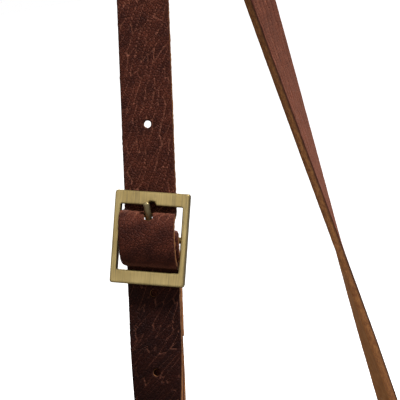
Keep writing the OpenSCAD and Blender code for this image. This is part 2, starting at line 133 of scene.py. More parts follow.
frame_w = 27.4
frame_h = 33.8
frame_t = 3.2
side_bar = 2.4
end_bar = 5.1
window_w = frame_w - 2 * side_bar
window_h = frame_h - 2 * end_bar
notch_r = 1.25
buckle_skew = 6.4
bar_r = 1.2
bar_w = -0.3
frame_gap = 0.8
seat = frame_t / 2 + frame_gap + half_t
climb = math.radians(48)
bar_clear = 0.08
wrap_r = bar_r + bar_clear + half_t
crest_r = wrap_r + ply
valley_r = 3.0
climb_rise = bar_w + seat + crest_r * math.cos(climb) - valley_r * (1 - math.cos(climb))
climb_len = climb_rise / math.sin(climb)
valley_u = (crest_r + valley_r) * math.sin(climb) + climb_len * math.cos(climb)
valley_w = valley_r - seat
return_r = valley_r + 2 * ply
return_a = (math.asin((return_r - wrap_r) / math.hypot(valley_u, bar_w - valley_w))
            + math.atan((bar_w - valley_w) / valley_u))
turn_back_end = 36.0
loose = 16.0                     # how far past the buckle's middle the straps lie flat
prong_lean = math.radians(8)
prong_rise = math.radians(16)


# ---------------------------------------------------------------- patterns

def mix(a, b, t):
    return a + (b - a) * t


def ease(t):
    t = np.clip(t, 0, 1)
    return t * t * (3 - 2 * t)


def lattice(ix, iy, seed):
    """A repeatable value from 0 to 1 for each whole-number place."""
    n = (ix.astype(np.int64) * 374761393 + iy.astype(np.int64) * 668265263 + seed * 974634777) & 0xFFFFFFFF
    n = ((n ^ (n >> 13)) * 1274126177) & 0xFFFFFFFF
    return ((n ^ (n >> 16)) & 0xFFFF) / 65535.0


def lumps(x, y, seed):
    """Soft noise from -1 to 1, about one lump per unit."""
    ix, iy = np.floor(x), np.floor(y)
    fx, fy = ease(x - ix), ease(y - iy)
    low = mix(lattice(ix, iy, seed), lattice(ix + 1, iy, seed), fx)
    high = mix(lattice(ix, iy + 1, seed), lattice(ix + 1, iy + 1, seed), fx)
    return 2 * mix(low, high, fy) - 1


def cell_walls(x, y, wide, long, seed):
    """Each place's distance in mm from the wall between the two nearest of the scattered cell centres."""
    ix, iy = np.floor(x / wide), np.floor(y / long)
    nearest = np.full((3,) + x.shape, 9.0)
    second = nearest.copy()
    for dx in (-1, 0, 1):
        for dy in (-1, 0, 1):
            cx, cy = ix + dx, iy + dy
            ox = cx + lattice(cx, cy, seed) - x / wide
            oy = cy + lattice(cx, cy, seed + 1) - y / long
            here = np.stack([ox ** 2 + oy ** 2, ox, oy])
            first = here[0] < nearest[0]
            second = np.where(first, nearest, np.where(here[0] < second[0], here, second))
            nearest = np.where(first, here, nearest)
    reach = np.hypot((second[1] - nearest[1]) / wide, (second[2] - nearest[2]) / long)
    return (second[0] - nearest[0]) / (2 * reach)


def pebbles(a, b, cell_a, cell_b, seed, wall=0.5):
    """Pebbled grain at places a across and b along, in mm: depth below the skin, and share of crease."""
    wa = a + 0.9 * lumps(a / 5, b / 9, seed + 5) + 0.3 * lumps(a / 1.7, b / 4, seed + 6)
    wb = b + 1.4 * lumps(a / 4, b / 6, seed + 7)
    crease = 1 - ease(cell_walls(wa, wb, cell_a, cell_b, seed) / wall)
    small = 1 - ease(cell_walls(wa, wb, cell_a / 2.1, cell_b / 2.6, seed + 2) / wall)
    swell = 0.5 + 0.5 * lumps(a / 9, b / 14, seed + 9)
    return (0.16 + 0.12 * swell) * crease + 0.06 * small + 0.06 * swell, crease


def simple_grain(cell_a, cell_b, seed, seam=None, wall=1.1):
    """Pebbles all over, and a groove where seam gives a distance of zero."""
    def grain(u, v):
        depth, crease = pebbles(u, v, cell_a, cell_b, seed, wall)
        if seam is not None:
            groove = np.exp(-(seam(u, v) / 0.9) ** 2)
            depth = depth + 0.4 * groove
        return depth, crease, u, v
    return grain


def cloth_grain(u, v):
    """Cloth has no pebbles, only slow folds."""
    return 0.15 * lumps(u / 14, v / 14, 3), np.zeros(u.shape), u, v


# ---------------------------------------------------------------- pieces

def attach(obj, body, slot, *nodes):
    """A piece moves with its body and stands for CAD nodes, which it hides; slot is not used."""
    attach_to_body(obj, body)
    if nodes:
        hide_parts(*nodes)


def facing(at, x, y, z):
    """One normal for every place."""
    return np.broadcast_to(np.array([x, y, z], float), at.shape)


# ---------------------------------------------------------------- leather cut from sheets

def slope(outline, u, v, d=0.05):
    """The direction in which an outline's distance grows, as two parts of a unit vector."""
    gu = outline(u + d, v) - outline(u - d, v)
    gv = outline(u, v + d) - outline(u, v - d)
    size = np.hypot(gu, gv) + 1e-9
    return gu / size, gv / size


def new_object(name, verts, faces, kinds, materials, grain=None):
    """A mesh object from places in mm, with a material number for each face."""
    mesh = bpy.data.meshes.new(name)
    mesh.from_pydata((np.asarray(verts) * MM).tolist(), [], faces)
    for m in materials:
        mesh.materials.append(m)
    mesh.polygons.foreach_set("material_index", np.asarray(kinds, np.int32))
    if grain is not None:
        attribute = mesh.attributes.new("grain", "FLOAT_VECTOR", "POINT")
        attribute.data.foreach_set("vector", np.asarray(grain, np.float32).ravel())
    bm = bmesh.new()
    bm.from_mesh(mesh)
    bmesh.ops.recalc_face_normals(bm, faces=bm.faces)
    bm.to_mesh(mesh)
    bm.free()
    mesh.shade_smooth()
    obj = bpy.data.objects.new(name, mesh)
    bpy.context.scene.collection.objects.link(obj)
    return obj


def sheet(name, us, vs, outline, place, thick, materials, grain, seed=1, rough=0.12, round_off=0.3,
          under=None):
    """A flat piece of material with thickness: us and vs are the places of its grid lines, in mm;
    outline gives the distance outside its edge; place puts a point and its normal in space;
    grain gives depth below the skin, crease, and the two coordinates its materials read;
    under gives extra thickness below, for each place along."""
    u, v = np.meshgrid(us, vs, indexing="ij")
    kept = outline((u[:-1, :-1] + u[1:, 1:]) / 2, (v[:-1, :-1] + v[1:, 1:]) / 2) < 0
    pad = np.pad(kept, 1).astype(int)
    around = pad[:-1, :-1] + pad[1:, :-1] + pad[:-1, 1:] + pad[1:, 1:]
    used = around > 0
    rim = used & (around < 4)
    for _ in range(3):
        gu, gv = slope(outline, u[rim], v[rim])
        far = outline(u[rim], v[rim])
        u[rim] -= far * gu
        v[rim] -= far * gv
    index = np.full(u.shape, -1)
    index[used] = np.arange(used.sum())
    count = int(used.sum())
    on_rim = rim[used]
    uu, vv = u[used], v[used]
    gu, gv = slope(outline, uu, vv)

    depth, crease, ga, gb = grain(uu, vv)
    inset = np.where(on_rim, 0.45 * round_off, 0)
    middle, normal = place(uu - gu * inset, vv - gv * inset)
    lift = np.where(on_rim, thick / 2 - round_off, thick / 2 - depth)
    top = middle + normal * lift[:, None]
    nap = 0.05 * lumps(uu * 1.1, vv * 1.1, seed + 21)
    low = thick / 2 + (under(uu) if under else np.zeros(count))
    bottom = middle - normal * np.where(on_rim, low - 0.15, low + nap)[:, None]
    verts = [top, bottom]
    data = [np.stack([ga, gb, np.where(on_rim, 0, crease)], 1), np.stack([ga, gb, np.full(count, 1.0)], 1)]
    ru, rv, rgu, rgv = uu[on_rim], vv[on_rim], gu[on_rim], gv[on_rim]
    rim_index = np.full(count, -1)
    rim_index[on_rim] = np.arange(on_rim.sum())
    walls = 2
    for k in range(1, walls + 1):
        t = k / (walls + 1)
        out = rough * lumps((ru + rv) / 1.3 + 40 * k, (ru - rv) / 1.3, seed + 30 + k)
        m, n = place(ru + rgu * out, rv + rgv * out)
        verts.append(m + n * mix(thick / 2 - round_off, 0.15 - low[on_rim], t)[:, None])
        data.append(np.stack([ga[on_rim], gb[on_rim], np.full(len(ru), t)], 1))

    i, j = np.nonzero(kept)
    a, b, c, d = index[i, j], index[i + 1, j], index[i + 1, j + 1], index[i, j + 1]
    faces = [np.stack([a, b, c, d], 1), count + np.stack([d, c, b, a], 1)]
    kinds = [np.zeros(len(i)), np.full(len(i), 2)]
    along_u = pad[1:-1, 1:] != pad[1:-1, :-1]
    along_v = pad[1:, 1:-1] != pad[:-1, 1:-1]
    iu, ju = np.nonzero(along_u)
    iv, jv = np.nonzero(along_v)
    ends = np.concatenate([
        np.stack([index[iu, ju], index[iu + 1, ju]], 1), np.stack([index[iv, jv], index[iv, jv + 1]], 1)])
    rows = [ends]
    for k in range(walls):
        rows.append(2 * count + k * len(ru) + rim_index[ends])
    rows.append(count + ends)
    for above, below in zip(rows[:-1], rows[1:]):
        faces.append(np.stack([above[:, 0], above[:, 1], below[:, 1], below[:, 0]], 1))
        kinds.append(np.ones(len(ends)))
    return new_object(name, np.concatenate(verts), np.concatenate(faces).tolist(),
                      np.concatenate(kinds), materials, np.concatenate(data))


def spaced(start, end, step):
    """Evenly spaced values from start to end, about one step apart."""
    return np.linspace(start, end, max(1, int(round(abs(end - start) / step))) + 1)


def rectangle(u0, u1, v0, v1):
    """The distance outside a rectangle."""
    def outline(u, v):
        return np.maximum(np.maximum(u0 - u, u - u1), np.maximum(v0 - v, v - v1))
    return outline


def circle_out(u0, v0, r):
    """The distance inside a round hole."""
    def outline(u, v):
        return r - np.hypot(u - u0, v - v0)
    return outline


def slot_out(start, end, r):
    """The distance inside a slot with round ends."""
    (u0, v0), (u1, v1) = start, end
    length2 = (u1 - u0) ** 2 + (v1 - v0) ** 2

    def outline(u, v):
        t = np.clip(((u - u0) * (u1 - u0) + (v - v0) * (v1 - v0)) / length2, 0, 1)
        return r - np.hypot(u - u0 - t * (u1 - u0), v - v0 - t * (v1 - v0))
    return outline


def both(*outlines):
    """What lies inside every outline."""
    def outline(u, v):
        return np.max([o(u, v) for o in outlines], axis=0)
    return outline


def round_bottom(half, low, top, r):
    """The distance outside an upright outline with rounded lower corners; u is across and v is up."""
    def outline(u, v):
        x, z = np.abs(u) - (half - r), (low + r) - v
        corner = np.hypot(np.maximum(x, 0), np.maximum(z, 0)) + np.minimum(np.maximum(x, z), 0) - r
        return np.maximum(corner, v - top)
    return outline


# ---------------------------------------------------------------- the strap's path

def turn_at(p):
    """How far the strap is turned about its own length."""
    return math.radians(np.interp(p, *zip(*turn_marks)))


def loop_at(p):
    """The strap loop at a distance p from the left ring: point, direction, outer normal and side."""
    if p < strand_len:
        point = np.array([p * math.sin(lean) - ring_x, 0, loop_z + p * math.cos(lean)])
        out = np.array([-math.cos(lean), 0, math.sin(lean)])
    elif p > strand_len + apex_len:
        q = loop_len - p
        point = np.array([ring_x - q * math.sin(lean), 0, loop_z + q * math.cos(lean)])
        out = np.array([math.cos(lean), 0, math.sin(lean)])
    else:
        a = math.pi - lean - (p - strand_len) / apex_r
        point = np.array([apex_r * math.cos(a), 0, apex_z + apex_r * math.sin(a)])
        out = np.array([math.cos(a), 0, math.sin(a)])
    along = np.array([out[2], 0, -out[0]])
    g = turn_at(p)
    normal = out * math.cos(g) + np.array([0, -math.sin(g), 0])
    return point, along, normal, np.cross(along, normal)


def station(p, a, b, heading, skew=0.0):
    """The strap's section: its middle, its half-width vector and its unit thickness vector."""
    point, along, out, side = loop_at(p)
    h = math.radians(heading)
    return (point + a * along + b * out,
            (side - along * math.tan(math.radians(skew))) * half_w,
            out * math.cos(h) - along * math.sin(h))


def flat_station(p, b, heading):
    skew = buckle_skew * (1 - ease((abs(p - buckle_p) - loose) / 14))
    return station(p, 0, b, heading, skew)


def buckle_station(u, w, heading):
    return station(buckle_p, u, w + seat, heading, buckle_skew)


def swollen(u, w, heading, shift, grow):
    """A section in the buckle's window, where the bend makes the leather a little wider and askew."""
    middle, half, normal = buckle_station(u, w, heading)
    much = float(ease((w + 2.5) / 4.5))
    side = half / np.linalg.norm(half)
    return middle + shift * much * side, half * (1 + grow * much), normal


def turned_end(toward):
    """The end of a strand, turned back round the top of a ring."""
    p0, back = (0, 180) if toward > 0 else (loop_len, 0)
    ends = (sewn_end_p, sewn_mid_p, sewn_p)
    path = [station(p0, toward * d, -ply / 2, back) for d in ends]
    inner = [(mix(sewn_p, open_p, t), mix(ply / 2, ring_bend, ease(t))) for t in np.linspace(0, 1, 17)[1:-1]]
    path += [station(p0, toward * d, -gap, back) for d, gap in inner]
    for s in np.linspace(0, 180, 37):
        r = math.radians(s)
        path.append(station(p0, -toward * (ring_drop + ring_bend * math.sin(r)),
                            -ring_bend * math.cos(r), back - toward * s))
    path += [station(p0, toward * d, gap, 180 - back) for d, gap in inner[::-1]]
    path += [station(p0, toward * d, ply / 2, 180 - back) for d in ends[::-1]]
    return path


def curve(points, count=14):
    """Places on a smooth curve with four control points, and its directions."""
    t = np.linspace(0, 1, count)[:, None]
    a, b, c, d = [np.array(p, float) for p in points]
    place = (1 - t) ** 3 * a + 3 * (1 - t) ** 2 * t * b + 3 * (1 - t) * t ** 2 * c + t ** 3 * d
    run = (1 - t) ** 2 * (b - a) + 2 * (1 - t) * t * (c - b) + t ** 2 * (d - c)
    return place, run / np.linalg.norm(run, axis=1, keepdims=True)


def bulge(curves, under):
    """Pairs of places up and out from the buckle's middle, and the outward direction at each; under is
    the depth of the ply."""
    rows = []
    for place, run in curves:
        for (u, w), (du, dw) in zip(place, run):
            out_u, out_w = dw, -du
            rows.append((u - out_u * under, w - out_w * under, out_u, out_w))
    return rows


def belly(under):
    """The straps' bulge below the centre bar, from over the bar down to behind the frame."""
    top = bar_w + crest_r
    low = -window_h / 2
    corner = (low + 2.3, -1.0)
    upper = curve([(0, top), (-5.4, top), (low + 2.6, 2.8), corner])
    lower = curve([corner, (low + 2.0, -2.9), (low + 1.6, -seat), (low - 1.6, -seat)])
    return bulge((upper, lower), under)


def brow():
    """The long strap's bulge above the centre bar, from behind the frame to over the bar."""
    top = bar_w + crest_r
    high = window_h / 2
    corner = (high - 3.4, 0.6)
    lower = curve([(high + 1.6, -seat), (high - 2.3, -seat), (high - 3.0, -1.8), corner])
    upper = curve([corner, (high - 4.4, 3.2), (5.0, top), (0, top)])
    return bulge((lower, upper), 0)


def long_path():
    """From the right ring over the top, down through the buckle to the free end."""
    path = turned_end(-1)
    for p in spaced(loop_len - free_p, strand_len + apex_len + 2, 3):
        path.append(flat_station(p, mix(ply / 2, 0, ease((loop_len - p - free_p) / 60)), 180))
    for p in spaced(strand_len + apex_len, strand_len, 0.7):
        path.append(flat_station(p, 0, 180))
    for p in spaced(strand_len - 2, buckle_p + loose, 2):
        path.append(flat_station(p, 0, 180))
    shift, grow = -0.5, 0.075
    for u, w, out_u, out_w in brow() + belly(0):
        path.append(swollen(u, w, math.degrees(math.atan2(out_u, -out_w)), shift, grow))
    for u in spaced(loose, tail_len, 2):
        path.append(flat_station(buckle_p - u, 0, 180))
    return path


def short_path():
    """From the left ring up to the buckle, round its bar and back."""
    path = turned_end(1)
    for p in spaced(free_p, buckle_p - loose, 2):
        path.append(flat_station(p, mix(ply / 2, -ply, ease((p - free_p) / 120)), 0))
    shift, grow = 0.7, 0.07
    for u, w, out_u, out_w in belly(ply)[::-1]:
        path.append(swollen(u, w, math.degrees(math.atan2(-out_u, out_w)), shift, grow))
    ra = math.degrees(return_a)
    for s in spaced(0, ra - 180, 9):
        r = math.radians(s)
        path.append(swollen(-wrap_r * math.sin(r), bar_w + wrap_r * math.cos(r), s, shift, grow))
    for s in spaced(ra - 180, -180, 5):
        r = math.radians(s)
        path.append(buckle_station(-valley_u - return_r * math.sin(r), valley_w + return_r * math.cos(r), s))
    for u in spaced(loose, turn_back_end, 2):
        path.append(flat_station(buckle_p - u, -2 * ply, -180))
    return path


def run_of(points):
    """The distance along a line of places at each of them."""
    return np.concatenate([[0], np.cumsum(np.linalg.norm(np.diff(points, axis=0), axis=1))])


class Ribbon:
    """A strap's path as arrays, with a place for each distance along it and across it."""

    def __init__(self, path, face):
        """face is the side of the thickness vector on which the grain lies: 1 or -1."""
        self.mid = np.array([s[0] for s in path])
        self.half = np.array([s[1] for s in path])
        self.normal = np.array([s[2] for s in path]) * face
        keep = np.diff(run_of(self.mid), prepend=-1) > 1e-4
        self.mid, self.half, self.normal = self.mid[keep], self.half[keep], self.normal[keep]
        self.s = run_of(self.mid)
        self.length = self.s[-1]

    def read(self, values, s):
        return np.stack([np.interp(s, self.s, values[:, k]) for k in range(3)], -1)

    def place(self, s, v):
        normal = self.read(self.normal, s)
        normal /= np.linalg.norm(normal, axis=-1, keepdims=True)
        return self.read(self.mid, s) + self.read(self.half, s) * (v / half_w)[..., None], normal

    def nearest(self, point, low=0.0, high=1e9):
        """The distances along and across at which the path passes a point."""
        span = (self.s >= low) & (self.s <= high)
        k = np.nonzero(span)[0][np.argmin(np.linalg.norm(self.mid[span] - point, axis=1))]
        back, ahead = max(k - 1, 0), min(k + 1, len(self.s) - 1)
        step = self.mid[ahead] - self.mid[back]
        size = np.linalg.norm(step)
        side = self.half[k] / np.linalg.norm(self.half[k])
        offset = point - self.mid[k]
        return self.s[k] + offset @ step / size, offset @ side


def rounded_track(corners, r):
    """A polyline in a plane with its inner corners rounded."""
    points = [corners[0]]
    for before, corner, after in zip(corners[:-2], corners[1:-1], corners[2:]):
        a = (before - corner) / np.linalg.norm(before - corner)
        b = (after - corner) / np.linalg.norm(after - corner)
        half_angle = math.acos(np.clip(a @ b, -1, 1)) / 2
        reach = r / math.tan(half_angle)
        centre = corner + (a + b) / np.linalg.norm(a + b) * r / math.sin(half_angle)
        start, end = corner + a * reach - centre, corner + b * reach - centre
        sweep = math.pi - 2 * half_angle
        for t in np.linspace(0, 1, 13):
            arm = (start * math.sin((1 - t) * sweep) + end * math.sin(t * sweep)) / math.sin(sweep)
            points.append(centre + arm)
    points.append(corners[-1])
    return points


class Track:
    """A line in a plane that sheets are bent along: a place and a normal for each distance along it."""

    def __init__(self, points):
        points = np.array(points)
        self.points = points[np.diff(run_of(points), prepend=-1) > 1e-6]
        self.s = run_of(self.points)
        self.length = self.s[-1]

    def at(self, s):
        def read(q):
            return np.stack([np.interp(q, self.s, self.points[:, k]) for k in (0, 1)], -1)
        ahead = read(np.minimum(s + 0.3, self.length)) - read(np.maximum(s - 0.3, 0))
        ahead /= np.linalg.norm(ahead, axis=-1, keepdims=True)
        return read(s), np.stack([ahead[..., 1], -ahead[..., 0]], -1)


def cross_lines():
    """Grid lines across the strap, closer together at its edges."""
    inner = np.linspace(-half_w + 0.85, half_w - 0.85, 41)
    edge = np.array([0.0, 0.22, 0.5])
    return np.concatenate([edge - half_w, inner, (half_w - edge)[::-1]])


def run_lines(ribbon, fine_from, fine_to, fine, coarse):
    """Grid lines along the strap, closer together in one stretch."""
    return np.concatenate([spaced(0, fine_from, coarse)[:-1], spaced(fine_from, fine_to, fine),
                           spaced(fine_to, ribbon.length, coarse)[1:]])


# ---------------------------------------------------------------- materials

def rgb(r, g, b):
    """A colour from its 0 to 255 screen values, as Blender's linear colour."""
    def linear(c):
        c /= 255
        return c / 12.92 if c <= 0.04045 else ((c + 0.055) / 1.055) ** 2.4
    return (linear(r), linear(g), linear(b), 1)


class Shader:
    """A material and short ways to add nodes to it."""

    def __init__(self, name):
        self.material = bpy.data.materials.new(name)
        self.material.use_nodes = True
        self.tree = self.material.node_tree
        self.main = self.tree.nodes["Principled BSDF"]

    def set(self, socket, value):
        if isinstance(value, bpy.types.NodeSocket):
            self.tree.links.new(value, socket)
        else:
            socket.default_value = value

    def node(self, kind, inputs=None, **settings):
        n = self.tree.nodes.new("ShaderNode" + kind)
        for key, value in settings.items():
            setattr(n, key, value)
        for key, value in (inputs or {}).items():
            self.set(n.inputs[key], value)
        return n

    def grain(self):
        """The piece's own coordinates, in mm: across, along, and crease or depth."""
        place = self.node("Attribute", attribute_name="grain").outputs["Vector"]
        return tuple(self.node("SeparateXYZ", {0: place}).outputs)

    def math(self, operation, a, b=0.0, clamp=False):
        return self.node("Math", {0: a, 1: b}, operation=operation, use_clamp=clamp).outputs[0]

    def times(self, a, b):
        return self.math("MULTIPLY", a, b)

    def plus(self, a, b):
        return self.math("ADD", a, b)

    def object_place(self):
        return self.node("TexCoord").outputs["Object"]

    def vector(self, x, y, z=0.0):
        return self.node("CombineXYZ", {0: x, 1: y, 2: z}).outputs[0]

    def noise(self, vector, scale, detail=3.0, rough=0.55):
        inputs = {"Vector": vector, "Scale": scale, "Detail": detail, "Roughness": rough}
        return self.node("TexNoise", inputs).outputs["Fac"]

    def span(self, value, low, high, to_low=0.0, to_high=1.0):
        return self.node("MapRange", {"Value": value, "From Min": low, "From Max": high,
                                      "To Min": to_low, "To Max": to_high}).outputs["Result"]

    def blend(self, a, b, t, how="MIX"):
        n = self.node("Mix", data_type="RGBA", blend_type=how)
        self.set(n.inputs[0], t)
        self.set(n.inputs[6], a)
        self.set(n.inputs[7], b)
        return n.outputs[2]

    def dim(self, a, by, t):
        """Colour a multiplied by another, as far as t."""
        return self.blend(a, by, t, "MULTIPLY")

    def bump(self, height, size_mm, under=None):
        inputs = {"Height": height, "Distance": size_mm * MM, "Strength": 1.0}
        if under is not None:
            inputs["Normal"] = under
        return self.node("Bump", inputs).outputs["Normal"]

    def finish(self, **inputs):
        for key, value in inputs.items():
            self.set(self.main.inputs[key.replace("_", " ")], value)
        return self.material


def grain_leather(name, dark, warm, pale_and_sheen, tone=1.0, painted_shade_span=None):
    """Pebbled full-grain leather: dark in its pores, warm over its pebbles and lighter along its creases,
    partly from its own pulled-up wax and partly as a painted highlight, and lightened by a painted sheen at
    grazing angles; tone scales the creases' lightening and the sheen; the last argument gives two distances
    along, between which painted shade darkens the leather."""
    s = Shader(name)
    a, b, crease = s.grain()
    place = s.vector(a, b)

    presence = s.span(s.noise(place, 0.13, 2.0), 0.38, 0.58, 0.5, 1.0)
    line = s.times(s.span(crease, 0.45, 1.0), presence)
    fine = s.node("TexVoronoi", {"Vector": place, "Scale": 0.8, "Randomness": 1.0},
                  voronoi_dimensions="2D", feature="DISTANCE_TO_EDGE").outputs["Distance"]
    hair = s.span(fine, 0.2, 0.0)
    patch = s.span(s.noise(place, 0.16, 3.0), 0.35, 0.7)
    speck = s.noise(place, 3.2, 4.0, 0.7)
    base = s.blend(dark, warm, patch)
    base = s.blend(base, dark, s.span(speck, 0.50, 0.62, 0, 0.9))
    base = s.blend(base, pale_and_sheen, s.span(speck, 0.46, 0.32, 0, 0.4))
    base = s.blend(base, dark, s.times(hair, 0.5))
    share = 0.66 * tone
    # painted shade: between the two distances along, the colour is darkened and the creases are lightened
    # less, standing in for the shade on the strap below the buckle
    if painted_shade_span:
        base = s.dim(base, (0.3, 0.23, 0.22, 1), s.span(b, *painted_shade_span))
        share = s.span(b, *painted_shade_span, share, 0.58 * share)
    # lighter creases: partly the leather's own pulled-up wax, partly a painted highlight
    base = s.blend(base, pale_and_sheen, s.math("MULTIPLY", line, share, clamp=True))
    # painted sheen: the colour is lightened where the leather is seen at a grazing angle
    painted_sheen = s.node("LayerWeight", {"Blend": 0.5}).outputs["Facing"]
    base = s.blend(base, pale_and_sheen, s.span(painted_sheen, 0.35, 0.85, 0, 0.5 * tone ** 3))
    height = s.math("SUBTRACT", s.times(speck, 0.6), s.times(line, 0.5))
    height = s.math("SUBTRACT", height, s.times(hair, 0.6))
    rough = s.span(speck, 0.3, 0.7, 0.5, 0.66)
    return s.finish(Base_Color=base, Roughness=rough, Normal=s.bump(height, 0.26),
                    Specular_IOR_Level=0.06)


def edge_leather(name, dark, tan, gold):
    """A raw cut edge: dyed at the grain side, fibrous tan below."""
    s = Shader(name)
    a, b, deep = s.grain()
    place = s.vector(s.times(deep, 2.4), b, a)
    fibre = s.noise(place, 2.4, 5.0, 0.75)
    long_fibre = s.noise(s.vector(s.times(deep, 6.0), s.times(b, 0.35), a), 1.1, 4.0, 0.7)
    base = s.blend(tan, gold, s.span(long_fibre, 0.4, 0.65))
    base = s.blend(base, dark, s.span(fibre, 0.52, 0.72, 0, 0.85))
    base = s.blend(dark, base, s.span(deep, 0.03, 0.34))
    height = s.plus(s.times(fibre, 0.6), s.times(long_fibre, 0.5))
    return s.finish(Base_Color=base, Roughness=0.9, Normal=s.bump(height, 0.35), Specular_IOR_Level=0.12)


def flesh_leather(name, tan, pale, dark):
    """The suede back of the leather, with short loose fibres."""
    s = Shader(name)
    a, b, _ = s.grain()
    place = s.vector(a, b)
    cloud = s.noise(place, 0.25, 4.0, 0.65)
    nap = s.noise(s.vector(a, s.times(b, 0.4)), 3.5, 5.0, 0.75)
    base = s.blend(tan, pale, s.span(cloud, 0.35, 0.68))
    base = s.blend(base, dark, s.span(nap, 0.52, 0.75, 0, 0.6))
    return s.finish(Base_Color=base, Roughness=0.95, Normal=s.bump(nap, 0.22), Specular_IOR_Level=0.1)


def woven(name, warp, weft):
    """Plain-woven cotton with threads 0.55 mm apart."""
    s = Shader(name)
    a, b, _ = s.grain()
    pitch = 2 * math.pi / 1.1
    wave_a = s.math("SINE", s.times(a, pitch))
    wave_b = s.math("SINE", s.times(b, pitch))
    over = s.times(wave_a, wave_b)
    thread = s.noise(s.vector(a, b), 1.4, 4.0, 0.7)
    base = s.blend(warp, weft, s.span(over, -1, 1))
    base = s.blend(base, warp, s.span(thread, 0.5, 0.8, 0, 0.5))
    height = s.plus(s.times(over, 0.5), s.times(thread, 0.4))
    return s.finish(Base_Color=base, Roughness=0.92, Normal=s.bump(height, 0.14), Sheen_Weight=0.3,
                    Specular_IOR_Level=0.2)


def antique_brass(name, along, across, gold, olive, grey, pitch=2.2):
    """Brushed brass under a thin olive patina; along is the direction of the brushing."""
    s = Shader(name)
    place = s.object_place()
    u = s.node("VectorMath", {0: place, 1: tuple(along)}, operation="DOT_PRODUCT").outputs["Value"]
    v = s.node("VectorMath", {0: place, 1: tuple(across)}, operation="DOT_PRODUCT").outputs["Value"]
    lines = s.noise(s.vector(s.times(v, pitch / MM), s.times(u, 0.06 / MM)), 1.0, 4.0, 0.65)
    cloud = s.noise(place, 55, 3.0, 0.6)
    spots = s.noise(place, 420, 3.0, 0.6)
    base = s.blend(gold, olive, s.span(cloud, 0.38, 0.66))
    base = s.blend(base, grey, s.span(lines, 0.45, 0.7, 0, 0.7))
    base = s.blend(base, grey, s.span(spots, 0.6, 0.78, 0, 0.35))
    rough = s.span(lines, 0.3, 0.7, 0.30, 0.46)
    return s.finish(Base_Color=base, Metallic=1.0, Roughness=rough, Normal=s.bump(lines, 0.035))


def mottled(name, one, other, noise, bump, roughness, metallic=0.0):
    """Two colours in fine specks; noise is its scale, detail and roughness."""
    s = Shader(name)
    specks = s.noise(s.object_place(), *noise)
    base = s.blend(one, other, s.span(specks, 0.35, 0.65))
    return s.finish(Base_Color=base, Metallic=metallic, Roughness=s.span(specks, 0.3, 0.7, *roughness),
                    Normal=s.bump(specks, bump))


dark_brown = rgb(40, 14, 8)
warm_brown = rgb(74, 34, 22)
# the creases' lighter colour, partly pulled-up wax and partly a painted highlight; it is also the colour of
# the painted sheen
crease_wax_and_highlight = rgb(130, 80, 62)
edge_dark = rgb(50, 28, 18)
edge_tan = rgb(104, 64, 38)
edge_gold = rgb(142, 96, 55)

strap_grain = grain_leather("strap_grain", dark_brown, warm_brown, crease_wax_and_highlight)
# the bag's leather has the same partly painted lighter creases and, at tone 0.8, a weaker painted sheen
bag_grain = grain_leather("bag_grain", rgb(50, 24, 18), rgb(74, 37, 27), rgb(116, 70, 55), 0.8)
raw_edge = edge_leather("raw_edge", edge_dark, edge_tan, edge_gold)
suede = flesh_leather("suede", rgb(138, 88, 44), rgb(158, 106, 60), rgb(98, 60, 30))
cotton = woven("cotton", rgb(150, 118, 84), rgb(176, 146, 110))
thread = mottled("thread", rgb(92, 58, 36), rgb(128, 86, 52), (2500, 2.0, 0.5), 0.06, (0.6, 0.6))
steel = mottled("steel", (0.42, 0.42, 0.41, 1), (0.62, 0.61, 0.59, 1), (900, 3.0, 0.6), 0.03, (0.28, 0.45),
                metallic=1.0)
board = mottled("board", rgb(150, 116, 82), rgb(110, 82, 56), (700, 5.0, 0.7), 0.1, (0.85, 0.85))

leather_parts = [strap_grain, raw_edge, suede]
bag_parts = [bag_grain, raw_edge, suede]
cloth_parts = [cotton, cotton, cotton]


# ---------------------------------------------------------------- straps

long_strap = Ribbon(long_path(), -1)
short_strap = Ribbon(short_path(), 1)
buckle_point, buckle_along, buckle_out, buckle_side = loop_at(buckle_p)
skew = math.radians(buckle_skew)
buckle_up = buckle_along * math.cos(skew) + buckle_side * math.sin(skew)
buckle_left = -buckle_side * math.cos(skew) + buckle_along * math.sin(skew)
buckle_mid = buckle_point + seat * buckle_out


def on_buckle(u, v, w):
    """A place in the buckle: u up, v to its left and w out of its face."""
    return buckle_mid + u * buckle_up + v * buckle_left + w * buckle_out


def on_prong(x):
    """A place on the prong's rod, x from the bar."""
    flat, rise = x * math.cos(prong_rise), x * math.sin(prong_rise)
    return on_buckle(flat * math.cos(prong_lean), flat * math.sin(prong_lean), bar_w + rise)


def on_prong_run():
    run = on_prong(1) - on_prong(0)
    return run / np.linalg.norm(run)


def on_prong_side():
    side = np.cross(on_prong_run(), buckle_out)
    return side / np.linalg.norm(side)


def crease_drift(ribbon, leans):
    """How far the creases have wandered across the strap, from (distance along, lean in degrees) pairs."""
    tilt = np.tan(np.radians(np.interp(ribbon.s, *zip(*leans))))
    gaps = np.diff(ribbon.s)
    drift = np.concatenate([[0], np.cumsum(gaps * (tilt[1:] + tilt[:-1]) / 2)])
    return lambda s: np.interp(s, ribbon.s, drift)


def strap_grain_at(drift, cell_a, cell_b, seed, smooth_s):
    """The strap's grain, less creased where it is stretched over the bar at smooth_s."""
    def grain(s, v):
        a = v + drift(s)
        depth, crease = pebbles(a, s, cell_a, cell_b, seed)
        edge = ease((half_w - np.abs(v)) / 0.8)
        sink = 0.16 * (1 - edge)
        stretch = 1 - 0.5 * ease((13 - np.abs(s - smooth_s)) / 5)
        return depth * edge * stretch + sink, crease * edge * stretch, a, s
    return grain


